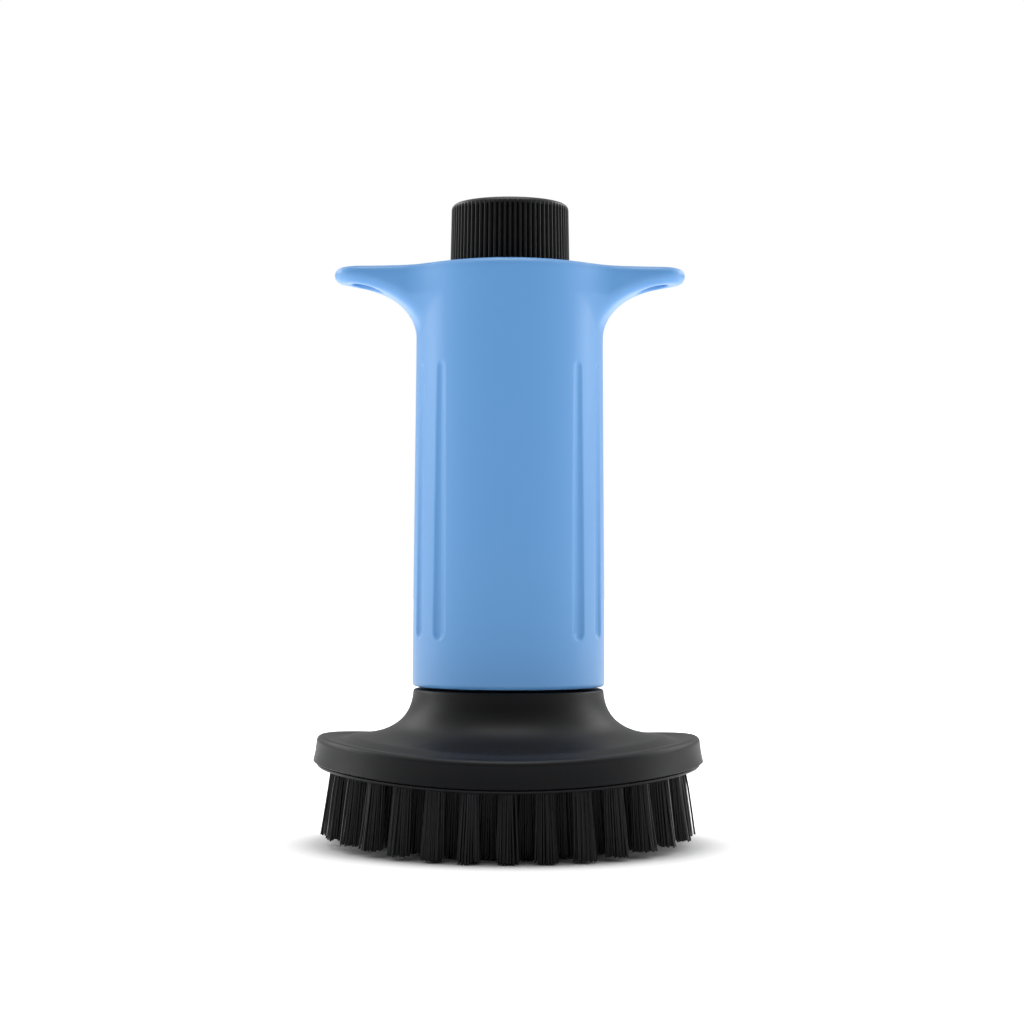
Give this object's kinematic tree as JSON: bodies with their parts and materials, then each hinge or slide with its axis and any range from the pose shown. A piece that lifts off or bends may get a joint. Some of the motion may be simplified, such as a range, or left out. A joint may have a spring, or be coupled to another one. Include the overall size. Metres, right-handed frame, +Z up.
{
  "type": "golf club groove brush",
  "caption": "Round wet-scrub brush with a winged tubular handle that holds water, a ribbed push knob on top and a rockered head of black tufts.",
  "frame": {"origin": "on the floor, under the middle of the tufts", "axes": "+Z up along the handle towards the push knob, X along the two finger wings and along the head's rocker"},
  "size_m": [0.076, 0.076, 0.1248],
  "materials": {
    "black_shell": "satin moulded black plastic with a very fine spark-eroded grain",
    "black_knob": "satin moulded black plastic with fine upright ribs",
    "blue_shell": "light blue plastic, smooth satin-gloss",
    "bristle": "black nylon filament, cut ends",
    "clear_bottle": "natural translucent polypropylene",
    "valve_plastic": "natural acetal",
    "rubber_seal": "black nitrile rubber",
    "steel": "bright drawn stainless steel"
  },
  "bodies": {
    "brush_head": {"head_shell": "black_shell", "tuft_plate": "black_shell", "tuft_ring_1": "bristle", "tuft_ring_2": "bristle", "tuft_ring_3": "bristle", "tuft_ring_4": "bristle", "valve_seat": "valve_plastic"},
    "outlet_valve": {"valve_stem": "valve_plastic", "valve_washer": "rubber_seal", "valve_clip": "steel", "valve_spring": "steel"},
    "head_gasket": {"handle_gasket": "rubber_seal"},
    "handle": {"handle_sleeve": "blue_shell", "reservoir_liner": "clear_bottle"},
    "cap_gasket": {"collar_gasket": "rubber_seal"},
    "fill_cap": {"fill_collar": "black_knob", "rod_seal": "rubber_seal"},
    "push_button": {"button_cap": "black_knob", "push_rod": "steel", "rod_clip": "steel", "button_spring": "steel"}
  },
  "joints": [
    {"name": "handle_lift", "type": "slide", "parent": "brush_head", "child": "head_gasket", "axis": [0, 0, 1], "range_m": [0, 0.0045]},
    {"name": "handle_turn", "type": "hinge", "parent": "head_gasket", "child": "handle", "pos_m": [0, 0, 0.05], "axis": [0, 0, 1], "range_deg": [0, 540]},
    {"name": "cap_lift", "type": "slide", "parent": "handle", "child": "cap_gasket", "axis": [0, 0, 1], "range_m": [0, 0.00375]},
    {"name": "cap_turn", "type": "hinge", "parent": "cap_gasket", "child": "fill_cap", "pos_m": [0, 0, 0.1], "axis": [0, 0, 1], "range_deg": [0, 540]},
    {"name": "button_press", "type": "slide", "parent": "fill_cap", "child": "push_button", "axis": [0, 0, -1], "range_m": [0, 0.004], "stiffness_N_per_m": 400, "springref_m": -0.003, "deforming": ["button_spring"]},
    {"name": "valve_open", "type": "slide", "parent": "brush_head", "child": "outlet_valve", "axis": [0, 0, -1], "range_m": [0, 0.004], "stiffness_N_per_m": 200, "springref_m": -0.002, "deforming": ["valve_spring"]}
  ],
  "couplings": [
    {"joint": "handle_lift", "follows": "handle_turn", "m_per_rad": 0.00047746},
    {"joint": "cap_lift", "follows": "cap_turn", "m_per_rad": 0.00039788},
    {"joint": "valve_open", "follows": "button_press", "ratio": 1}
  ]
}
